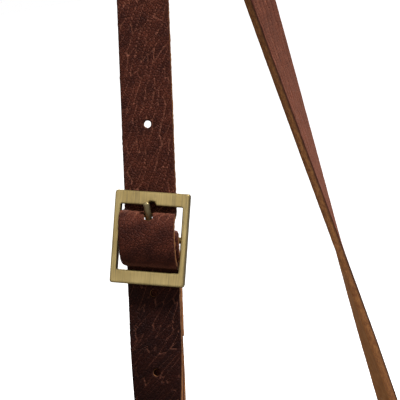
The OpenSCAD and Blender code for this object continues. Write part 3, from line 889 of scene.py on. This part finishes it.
def make_long_strap():
    ribbon = long_strap
    bar_s, _ = ribbon.nearest(on_buckle(0, 0, bar_w + crest_r))
    holes = []
    for u in hole_u:
        low, high = (0, bar_s) if u > 0 else (bar_s, ribbon.length)
        s, v = ribbon.nearest(loop_at(buckle_p + u)[0], low, high)
        holes.append(circle_out(s, v, hole_r))
    start = ribbon.nearest(on_buckle(6.9, 0.72, 2.3), bar_s - 14, bar_s)
    end = ribbon.nearest(on_buckle(8.4, 1.05, 0.5), bar_s - 14, bar_s)
    holes.append(slot_out(start, end, prong_slot_r))

    def tail(s, v):
        x, z = np.abs(v) - (half_w - 7), s - (ribbon.length - 8)
        corner = np.hypot(np.maximum(x, 0) * 8 / 7, np.maximum(z, 0)) - 8
        side = np.maximum(np.abs(v) - half_w, -s)
        return np.where((x > 0) & (z > 0), corner, np.maximum(side, s - ribbon.length))
    leans = [(0, 15), (bar_s - 60, 24), (bar_s, 26), (bar_s + 18, 30), (bar_s + 60, 48)]
    lines = run_lines(ribbon, bar_s - 110, bar_s + 68, 0.4, 1.6)

    def single(s):
        return 0.9 * ease((s - 90) / 40) * ease((bar_s - 30 - s) / 30)
    # painted shade: the strap below the buckle is darkened in its colour, from just past the centre bar
    # onwards
    shade = (bar_s + 10, bar_s + 26)
    tail_grain_painted_shade = grain_leather("tail_grain_painted_shade", dark_brown, warm_brown, crease_wax_and_highlight, painted_shade_span=shade)
    grain = strap_grain_at(crease_drift(ribbon, leans), 2.4, 9.0, 11, bar_s + 4)
    obj = sheet("strap_long", lines, cross_lines(), both(tail, *holes), ribbon.place, strap_t,
                [tail_grain_painted_shade, raw_edge, suede], grain, seed=11, rough=0.16, under=single)
    attach(obj, "strap", "strap_leather", "long_strap")


def make_short_strap():
    ribbon = short_strap
    wrap_s, _ = ribbon.nearest(on_buckle(0, 0, bar_w + wrap_r))
    eye = slot_out((wrap_s - 3, 0), (wrap_s + 6, 0), 1.7)
    outline = both(rectangle(0, ribbon.length, -half_w, half_w), eye)
    lines = run_lines(ribbon, wrap_s - 75, ribbon.length - 1, 0.8, 1.1)
    leans = [(0, -20), (ribbon.length, -28)]
    grain = strap_grain_at(crease_drift(ribbon, leans), 2.4, 8.0, 12, wrap_s)
    obj = sheet("strap_short", lines, cross_lines(), outline, ribbon.place, strap_t, leather_parts, grain,
                seed=12, rough=0.16)
    attach(obj, "strap", "strap_leather", "short_strap")


make_long_strap()
make_short_strap()


def make_keeper():
    """A short band of leather round the strap and its free end, butted at the back."""
    point, along, out, side = loop_at(buckle_p - keeper_drop)
    gap, thick, length, bend = 0.35, 2.0, 11.0, 1.7
    half = half_w + gap + thick / 2
    front = half_t + gap + thick / 2
    back = -ply - front
    corners = [(0, back), (half, back), (half, front), (-half, front), (-half, back), (0, back)]
    track = Track(rounded_track([np.array(c) for c in corners], bend))

    def place(s, v):
        at, normal = track.at(s)
        return (point + at[..., :1] * side + at[..., 1:] * out + v[..., None] * along,
                normal[..., :1] * side + normal[..., 1:] * out)
    butt = 0.12
    outline = rectangle(butt, track.length - butt, -length / 2, length / 2)
    obj = sheet("keeper_band", spaced(butt, track.length - butt, 0.6), spaced(-length / 2, length / 2, 0.6),
                outline, place, thick, leather_parts, simple_grain(2.4, 3.2, 13, wall=0.6), seed=13)
    attach(obj, "keeper_loop", "strap_leather", "keeper")
    rear = back - thick / 2 - 0.1
    rows = [[point + rear * out + v * along + x * side for x in (-1.6, 1.6)] for v in (-2.8, 0, 2.8)]
    stitches = make_stitches("keeper_stitches", rows, [-out] * len(rows), 0.32)
    attach(stitches, "keeper_loop", "strap_leather")


# ---------------------------------------------------------------- thread

def make_stitches(name, rows, faces, thick):
    """One short arched thread from the first to the last place of each row; faces are the directions out."""
    sides, rings = 8, 7
    verts, quads = [], []
    for (a, b), out in zip(rows, faces):
        a, b, out = np.array(a), np.array(b), np.array(out, float)
        run = b - a
        across = np.cross(run, out)
        across /= np.linalg.norm(across)
        base = len(verts)
        for k in range(rings):
            t = k / (rings - 1)
            rise = (math.sin(math.pi * t) ** 0.5) * 0.55 * thick - 0.45 * thick
            r = thick * (0.30 + 0.20 * math.sin(math.pi * t))
            for j in range(sides):
                q = 2 * math.pi * j / sides
                verts.append(a + run * t + out * (rise + r * math.sin(q)) + across * r * math.cos(q))
        quads += tube_faces(base, rings, sides) + cap_faces(base, rings, sides)
    return new_object(name, verts, quads, [0] * len(quads), [thread])


def tube_faces(base, rings, sides, closed=False):
    """The faces between rings of points that follow one another; closed joins the last to the first."""
    quads = []
    for k in range(rings if closed else rings - 1):
        for j in range(sides):
            here, ahead = base + k * sides, base + (k + 1) % rings * sides
            n = (j + 1) % sides
            quads.append((here + j, here + n, ahead + n, ahead + j))
    return quads


def cap_faces(base, rings, sides):
    """The faces over a tube's first and last ring."""
    last = base + (rings - 1) * sides
    return [tuple(range(base, base + sides)), tuple(range(last + sides - 1, last - 1, -1))]


def stitch_run(points, face, pitch=4.2, share=0.74):
    """Stitch ends along a line of places, and the direction each one faces."""
    points = np.array(points)
    s = run_of(points)
    count = int(s[-1] / pitch)
    gap = s[-1] / count
    rows = []
    for k in range(count):
        ends = [gap * (k + 0.5 - share / 2), gap * (k + 0.5 + share / 2)]
        rows.append([[np.interp(e, s, points[:, c]) for c in range(3)] for e in ends])
    return rows, [face] * count


def bottom_path(half, low, top, r, count):
    """A round-bottomed outline from its left top down and round to its right, as places in X and Z."""
    path = [np.array([-half, top])]
    for side, start in ((-1, math.pi), (1, 1.5 * math.pi)):
        centre = np.array([side * (half - r), low + r])
        for a in np.linspace(start, start + math.pi / 2, count):
            path.append(centre + r * np.array([math.cos(a), math.sin(a)]))
    return path + [np.array([half, top])]


def side_path(inset, top):
    """The bag's outline, drawn in by an inset, from its left top corner round the base to its right."""
    return bottom_path(bag_half - inset, inset, top, corner_r - inset, 25)


def stitch_outline(name, path, y, side):
    """Stitches along a path of places in X and Z, on a face at y that looks along side."""
    line = [np.array([p[0], y, p[1]]) for p in path]
    threads = make_stitches(name, *stitch_run(line, (0, side, 0)), 0.75)
    attach(threads, "bag", "leather")


# ---------------------------------------------------------------- bag

def panel_inside(u, v):
    """How far a place lies inside the panels' sides and base."""
    return -round_bottom(bag_half, 0, bag_top + 500, corner_r)(u, v)


def make_panel(name, node, side, crown, hole_z):
    """A body panel: side is -1 for the front and 1 for the back; crown is how far it swells."""
    middle_y = side * (inner_y + panel_t / 2)

    def place(u, v):
        inside = panel_inside(u, v)
        swell = crown * ease((inside - 9) / 34) * ease((bag_top - 8 - v) / 30)
        swell = swell + 0.25 * lumps(u / 38, v / 31, 4) * ease((inside - 9) / 12)
        at = np.stack([u, middle_y + side * swell, v], -1)
        return at, facing(at, 0, side, 0)
    outline = round_bottom(bag_half, 0, bag_top, corner_r)
    if hole_z is not None:
        outline = both(outline, circle_out(0, hole_z, snap_bore))

    def seam(u, v):
        return panel_inside(u, v) - seam_in
    obj = sheet(name, spaced(-bag_half, bag_half, 1.15), spaced(0, bag_top, 1.15), outline, place, panel_t,
                bag_parts, simple_grain(2.7, 3.1, 20 + side, seam), seed=20 + side)
    attach(obj, "bag", "leather", node)
    face_y = side * (inner_y + panel_t - sunk)
    stitch_outline(name + "_stitches", side_path(seam_in, bag_top - 5), face_y, side)


def make_gusset():
    """The band round the sides and base, its edges turned in along the panels."""
    path = Track(side_path(gusset_t / 2, bag_top))
    bend = 2.0
    wall = inner_y - gusset_t / 2
    straight = wall - bend
    arc = bend * math.pi / 2
    reach = straight + arc + flange_w + gusset_t / 2 - bend

    def place(u, v):
        at, normal = path.at(u)
        w = np.abs(v)
        a = np.clip((w - straight) / bend, 0, math.pi / 2)
        inset = bend * (1 - np.cos(a)) + np.maximum(w - straight - arc, 0)
        flat = np.minimum(w, straight)
        y = flat + bend * np.sin(a)
        z = at[..., 1]
        soft = ease((z - 46) / 26) * (1 - ease((z - 84) / 18)) * (1 - (flat / straight) ** 2)
        inset = inset + soft * (2.2 + 0.8 * lumps(u / 30, v / 20, 8))
        xz = at - normal * inset[..., None]
        tilt = np.cos(a)[..., None] * normal
        face = np.stack([tilt[..., 0], np.sin(a) * np.sign(v), tilt[..., 1]], -1)
        return np.stack([xz[..., 0], y * np.sign(v), xz[..., 1]], -1), face

    def grain(u, v):
        depth, crease = pebbles(v, u, 2.6, 3.4, 23, 1.1)
        flat = ease((straight + arc - np.abs(v)) / 1.5)
        return depth * flat, crease * flat, v, u
    outline = rectangle(0, path.length, -reach, reach)
    obj = sheet("gusset_band", spaced(0, path.length, 1.2), spaced(-reach, reach, 1.05), outline, place,
                gusset_t, bag_parts, grain, seed=23)
    attach(obj, "bag", "leather", "gusset")


def flap_track():
    front_y, top_z = flap_mid_y, flap_mid_z
    corners = [(root_mid_y, root_low[2]), (root_mid_y, top_z), (front_y, top_z), (front_y, flap_low[2])]
    first, second = [np.array(c) for c in corners[:3]], [np.array(c) for c in corners[1:]]
    back = rounded_track(first, root_bend)[:-1]
    front = rounded_track(second, flap_bend)[1:]
    return Track(back + front)


def make_flap():
    """The flap and the part sewn to the back, as one sheet that bends over the top."""
    track = flap_track()
    top_start = flap_mid_z - root_low[2]
    front_start = top_start + root_mid_y - flap_mid_y

    def front_outline(x, z):
        x = np.abs(x)
        sin_t, cos_t = math.sin(flap_taper), math.cos(flap_taper)
        side = (x - flap_half) * cos_t - (z - flap_high[2] - 1) * sin_t
        low = flap_low[2] + flap_corner
        centre = flap_half - (flap_corner + (flap_high[2] + 1 - low) * sin_t) / cos_t
        qx, qz = x - centre, z - low
        in_corner = (qx > 0) & (qx * -sin_t - qz * cos_t > 0)
        return np.where(in_corner, np.hypot(qx, qz) - flap_corner, np.maximum(side, flap_low[2] - z))

    def outline(u, v):
        z = track.at(v)[0][..., 1]
        on_front = v > front_start - 8
        root = round_bottom(flap_half, 0, 1000, root_corner)(u, v)
        return np.where(on_front, np.maximum(front_outline(u, z), v - track.length), root)

    def place(u, v):
        at, normal = track.at(v)
        over = np.clip((v - top_start - 4) / (front_start - top_start - 12), 0, 1)
        dip = 1.5 * np.sin(np.pi * over) * (1 - 0.35 * (u / flap_half) ** 2)
        near = np.clip(1 + outline(u, v) / 14, 0, 1) * (v > front_start + 10)
        wave = 0.45 * lumps(u / 41, v / 37, 6) * ease((v - front_start - 6) / 20) + 0.7 * near ** 2
        at = at + normal * (wave - dip)[..., None]
        return (np.stack([u, at[..., 0], at[..., 1]], -1),
                np.stack([np.zeros(u.shape), normal[..., 0], normal[..., 1]], -1))

    def seam(u, v):
        inside = -round_bottom(flap_half, 0, 1000, root_corner)(u, v) - seam_in
        return np.where(v < root_high[2] - root_low[2] - 6, inside, 9)
    hole_v = track.length - (snap_z - flap_low[2])
    obj = sheet("flap_cover", spaced(-flap_half, flap_half, 1.15), spaced(0, track.length, 1.1),
                both(outline, circle_out(0, hole_v, snap_bore)), place, panel_t, bag_parts,
                simple_grain(2.7, 3.1, 26, seam), seed=26)
    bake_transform(obj)
    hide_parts("flap_root", "flap")
    path = bottom_path(flap_half - seam_in, root_low[2] + seam_in, root_high[2] - 8,
                       root_corner - seam_in, 9)
    stitch_outline("flap_stitches", path, root_high[1] - sunk, 1)


def make_ring_tab(name, node, side):
    """A tongue of leather folded over the ring's lower wire and riveted through the gusset."""
    thick = 1.6
    leg = gusset_t / 2 + thick / 2
    loop = wire_r + 0.6 + thick / 2
    low, wire_z = tab_low[2], ring_z - ring_r
    top = wire_z + loop - thick / 2
    corners = [(leg, low), (leg, bag_top - 4), (loop, wire_z), (loop, top)]
    outer = rounded_track([np.array(c) for c in corners], 2.5)
    crown = [np.array([loop * math.cos(a), top + loop * math.sin(a)]) for a in np.linspace(0, math.pi, 25)]
    inner = [np.array([-p[0], p[1]]) for p in outer[::-1]]
    track = Track(outer + crown[1:-1] + inner)
    half = tab_high[1]

    def place(u, v):
        at, normal = track.at(u)
        return (np.stack([side * (ring_x + at[..., 0]), v, at[..., 1]], -1),
                np.stack([side * normal[..., 0], np.zeros(v.shape), normal[..., 1]], -1))
    capsule = slot_out((half, 0), (track.length - half, 0), half)

    def grain(u, v):
        depth, crease = pebbles(v, u, 2.4, 2.8, 30, 0.8)
        return depth * 0.7, crease, v, u
    obj = sheet(name, spaced(0, track.length, 0.8), spaced(-half, half, 0.8), lambda u, v: -capsule(u, v),
                place, thick, bag_parts, grain, seed=30)
    attach(obj, "bag", "leather", node)


def make_lining():
    """The cloth inside: two walls, the band between them, and a pocket on the back wall."""
    thick = 0.8
    inset = bag_half - lining_high[0] + thick / 2
    top = lining_high[2]
    wall_y = lining_high[1] - thick / 2
    outline = round_bottom(bag_half - inset, inset, top, corner_r - inset)

    def make_wall(name, side):
        def place(u, v):
            give = 0.6 * lumps(u / 26, v / 22, 14 + side) - 0.5
            at = np.stack([u, side * (wall_y + np.minimum(give, 0)), v], -1)
            return at, facing(at, 0, -side, 0)
        return sheet(name, spaced(inset - bag_half, bag_half - inset, 2), spaced(inset, top, 2), outline,
                     place, thick, cloth_parts, cloth_grain, seed=14, rough=0.02, round_off=0.15)
    path = Track(side_path(inset, top))

    def place_band(u, v):
        at, normal = path.at(u)
        give = 0.5 + 0.5 * lumps(u / 24, v / 18, 15)
        at = at + normal * give[..., None]
        return (np.stack([at[..., 0], v, at[..., 1]], -1),
                np.stack([normal[..., 0], np.zeros(v.shape), normal[..., 1]], -1))
    band = sheet("lining_band", spaced(0, path.length, 2), spaced(-wall_y, wall_y, 2),
                 rectangle(0, path.length, -wall_y, wall_y), place_band, thick, cloth_parts, cloth_grain,
                 seed=15, rough=0.02, round_off=0.15)
    for obj in (make_wall("lining_front", -1), make_wall("lining_back", 1), band):
        attach(obj, "bag", "lining", "lining")
    pocket_t = pocket_high[1] - pocket_low[1]
    pocket_y = (pocket_high[1] + pocket_low[1]) / 2
    half, low, high = pocket_high[0], pocket_low[2], pocket_high[2]

    def place_pocket(u, v):
        open_top = ease((v - low) / (high - low)) * np.cos(np.clip(u / half, -1, 1) * math.pi / 2)
        at = np.stack([u, pocket_y - 0.8 - 1.6 * open_top, v], -1)
        return at, facing(at, 0, -1, 0)

    def pocket_grain(u, v):
        hem = np.exp(-((v - high + 6) / 0.8) ** 2)
        return 0.3 * hem, np.zeros(u.shape), u, v
    pocket = sheet("pocket_panel", spaced(-half, half, 1.6), spaced(low, high, 1.6),
                   round_bottom(half, low, high, 12), place_pocket, pocket_t, cloth_parts, pocket_grain,
                   seed=16, rough=0.05, round_off=0.3)
    attach(pocket, "bag", "lining", "back_pocket")


make_keeper()
make_panel("panel_front", "front_panel", -1, 0.5, snap_z)
make_panel("panel_back", "back_panel", 1, 2.2, None)
make_gusset()
make_flap()
make_ring_tab("tab_left", "ring_tab_left", -1)
make_ring_tab("tab_right", "ring_tab_right", 1)
make_lining()


# ---------------------------------------------------------------- metal and board from the CAD

def soften(node, material, width, angle=30):
    """A CAD node keeps its shape, with its hard edges rounded a little, and gets its material."""
    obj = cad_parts[node]
    obj.data.materials.clear()
    obj.data.materials.append(material)
    flat = obj.modifiers.new("flat", "DECIMATE")
    flat.decimate_type = "DISSOLVE"
    flat.angle_limit = math.radians(0.5)
    bevel = obj.modifiers.new("edges", "BEVEL")
    bevel.width = width * MM
    bevel.segments = 3
    bevel.limit_method = "ANGLE"
    bevel.angle_limit = math.radians(angle)
    bevel.harden_normals = True
    obj.data.shade_smooth()
    return obj


brush_up = buckle_up
brush_side = -buckle_left
buckle_brass = antique_brass("buckle_brass", brush_up, brush_side, rgb(160, 141, 95), rgb(132, 114, 73),
                             rgb(100, 90, 68))
hardware_brass = antique_brass("hardware_brass", (0, 0, 1), (1, 0, 0), rgb(140, 126, 88), rgb(116, 102, 66),
                               rgb(84, 76, 58), 0.7)


def rounded_box(half_u, half_v, r):
    """The distance outside a rectangle with round corners, centred on the origin."""
    def outline(u, v):
        x, y = np.abs(u) - half_u + r, np.abs(v) - half_v + r
        return np.hypot(np.maximum(x, 0), np.maximum(y, 0)) + np.minimum(np.maximum(x, y), 0) - r
    return outline


def bar_lines(outer, inner, edges):
    """Grid lines that follow both edges of a frame's bars, closer together on their bevels."""
    lines = [side * (outer - e) for side in (-1, 1) for e in edges]
    lines += [side * (inner + e) for side in (-1, 1) for e in edges]
    lines += list(spaced(inner + edges[-1], outer - edges[-1], 0.5)[1:-1])
    lines += list(-spaced(inner + edges[-1], outer - edges[-1], 0.5)[1:-1])
    lines += list(spaced(-inner, inner, 0.3)[1:-1])
    return np.unique(np.round(lines, 4))


def make_buckle_frame():
    """The buckle's frame with soft bevels, and the notch in which the prong's tip rests."""
    bevel = 0.55
    window = rounded_box(window_h / 2, window_w / 2, 0.5)
    outer = rounded_box(frame_h / 2, frame_w / 2, 0.9)
    outline = both(outer, lambda u, v: -window(u, v), circle_out(window_h / 2, 0, notch_r))

    def place(u, v):
        at = on_buckle(u[..., None], v[..., None], 0)
        return at, facing(at, *buckle_out)

    def grain(u, v):
        short = np.clip(bevel + outline(u, v), 0, bevel)
        return bevel - np.sqrt(bevel ** 2 - short ** 2 + 1e-9), np.zeros(u.shape), u, v
    edges = (0.0, 0.08, 0.2, 0.35, 0.55)
    obj = sheet("frame_brass", bar_lines(frame_h / 2, window_h / 2, edges),
                bar_lines(frame_w / 2, window_w / 2, edges), outline, place, frame_t,
                [buckle_brass] * 3, grain, rough=0.0, round_off=bevel)
    attach(obj, "buckle", "brass", "buckle_frame")


def make_prong():
    """A slightly flattened, bowed rod with a round tip, on an eye that turns on the centre bar."""
    start, tip, half_wide, half_thick, sides = 1.2, 13.6, 1.2, 0.9, 20
    root_wide, root_thick = 1.3, 0.75
    sag_depth, squareness = 1.1, 0.8
    verts = []
    ends = [start, 4, 6, 7, 8, 10, 12]
    ends += [tip - half_wide * (1 - math.sin(a)) for a in np.linspace(0.15, 1.5, 7)]
    for x in ends:
        back = max(0.0, x - (tip - half_wide)) / half_wide
        share = math.sqrt(max(1 - back ** 2, 0.02))
        along = float(ease((x - 7) / 2))
        wide = share * mix(root_wide, half_wide, along)
        thick = share * mix(root_thick, half_thick, along)
        sag = sag_depth * math.sin(math.pi * (x - start) / (tip - start))
        middle = on_prong(x) - sag * buckle_out
        side = on_prong_side()
        out = np.cross(side, on_prong_run())
        for j in range(sides):
            q = 2 * math.pi * j / sides
            c, d = math.cos(q), math.sin(q)
            verts.append(middle + side * wide * math.copysign(abs(c) ** squareness, c)
                         + out * thick * math.copysign(abs(d) ** squareness, d))
    quads = tube_faces(0, len(ends), sides) + cap_faces(0, len(ends), sides)
    eye_r, eye_half, turns, chamfer = 2.35, 1.5, 40, 0.25
    bore = bar_r + bar_clear
    base = len(verts)
    section = [(bore, -eye_half), (bore, eye_half), (eye_r - chamfer, eye_half), (eye_r, eye_half - chamfer),
               (eye_r, chamfer - eye_half), (eye_r - chamfer, -eye_half)]
    for k in range(turns):
        a = 2 * math.pi * k / turns
        for r, v in section:
            verts.append(on_buckle(r * math.cos(a), v, bar_w + r * math.sin(a)))
    quads += tube_faces(base, turns, len(section), closed=True)
    obj = new_object("prong_brass_painted_highlight", verts, quads, [0] * len(quads), [prong_brass_painted_highlight])
    attach(obj, "prong", "brass", "buckle_prong")


# painted highlight: the prong's brass is a paler copy of the frame's, lighter to stand in for the highlight
# along the prong
prong_brass_painted_highlight = antique_brass("prong_brass_painted_highlight", brush_up, brush_side, rgb(168, 156, 122), rgb(138, 124, 90),
                            rgb(96, 88, 68))
make_buckle_frame()
make_prong()
for node in ("buckle_bar", "ring_left", "ring_right", "tab_rivets", "short_strap_rivets", "fold_rivets",
             "long_strap_rivets", "snap_post", "snap_socket", "snap_cap"):
    soften(node, hardware_brass, 0.3)
soften("snap_washer", steel, 0.15)
soften("base_board", board, 0.5)


# ---------------------------------------------------------------- stage

def make_camera():
    """The viewpoint: left of the front, a little above the buckle, with the camera rolled."""
    azimuth, height, roll = math.radians(-37.28), math.radians(6.42), math.radians(-10.4)
    distance = 796.6
    beside_buckle, above_buckle = 17.98, 13.86
    right = np.array([math.cos(azimuth), math.sin(azimuth), 0])
    level = np.array([math.sin(azimuth), -math.cos(azimuth), 0])
    back = level * math.cos(height) + np.array([0, 0, math.sin(height)])
    up = np.cross(back, right)
    right, up = (right * math.cos(roll) + up * math.sin(roll), up * math.cos(roll) - right * math.sin(roll))
    target = buckle_mid + right * beside_buckle + up * above_buckle
    spot = buckle_mid + back * distance
    aim = spot - target
    aim /= np.linalg.norm(aim)
    side = np.cross(up, aim)
    side /= np.linalg.norm(side)
    above = np.cross(aim, side)
    data = bpy.data.cameras.new("camera")
    data.lens = 198.5
    data.sensor_width = 36
    data.clip_end = 2000
    camera = bpy.data.objects.new("camera", data)
    rows = np.stack([side, above, aim], 1)
    camera.matrix_world = Matrix([list(rows[k]) + [spot[k] * MM] for k in range(3)] + [[0, 0, 0, 1]])
    bpy.context.scene.collection.objects.link(camera)
    bpy.context.scene.camera = camera


def make_stage():
    floor_mesh = bpy.data.meshes.new("floor")
    r = 400
    floor_mesh.from_pydata([(-r, -r, 0), (r, -r, 0), (r, r, 0), (-r, r, 0)], [], [(0, 1, 2, 3)])
    s = Shader("floor")
    seen = s.node("LightPath").outputs["Is Camera Ray"]
    s.finish(Base_Color=s.blend((0.3, 0.3, 0.3, 1), (0.92, 0.92, 0.92, 1), seen), Roughness=0.9,
             Specular_IOR_Level=0.1, Emission_Color=(1, 1, 1, 1), Emission_Strength=s.times(seen, 0.9))
    floor_mesh.materials.append(s.material)
    floor = bpy.data.objects.new("floor", floor_mesh)
    bpy.context.scene.collection.objects.link(floor)
    world = bpy.data.worlds.new("studio")
    bpy.context.scene.world = world
    world.use_nodes = True
    tree = world.node_tree
    background = tree.nodes["Background"]
    background.inputs["Color"].default_value = (1, 1, 1, 1)
    path = tree.nodes.new("ShaderNodeLightPath")
    bright = tree.nodes.new("ShaderNodeMath")
    bright.operation = "MAXIMUM"
    tree.links.new(path.outputs["Is Camera Ray"], bright.inputs[0])
    tree.links.new(path.outputs["Is Glossy Ray"], bright.inputs[1])
    strength = tree.nodes.new("ShaderNodeMapRange")
    strength.inputs["To Min"].default_value = 0.34
    tree.links.new(bright.outputs[0], strength.inputs["Value"])
    tree.links.new(strength.outputs["Result"], background.inputs["Strength"])


def make_lamp(name, spot, aim, size, watts):
    data = bpy.data.lights.new(name, "AREA")
    data.size = size
    data.energy = watts
    lamp = bpy.data.objects.new(name, data)
    lamp.location = spot
    lamp.rotation_euler = (Vector(aim) - Vector(spot)).to_track_quat("-Z", "Y").to_euler()
    bpy.context.scene.collection.objects.link(lamp)


make_stage()
make_lamp("key", (0.4, -1.4, 2.3), (0, 0, 0.45), 0.4, 112)
make_lamp("fill", (-1.6, -1.2, 0.9), (0, 0, 0.3), 1.2, 6)
make_lamp("back", (0.9, 1.7, 1.6), (0, 0, 0.3), 1.2, 30)
make_camera()
bpy.context.scene.view_settings.view_transform = "Standard"
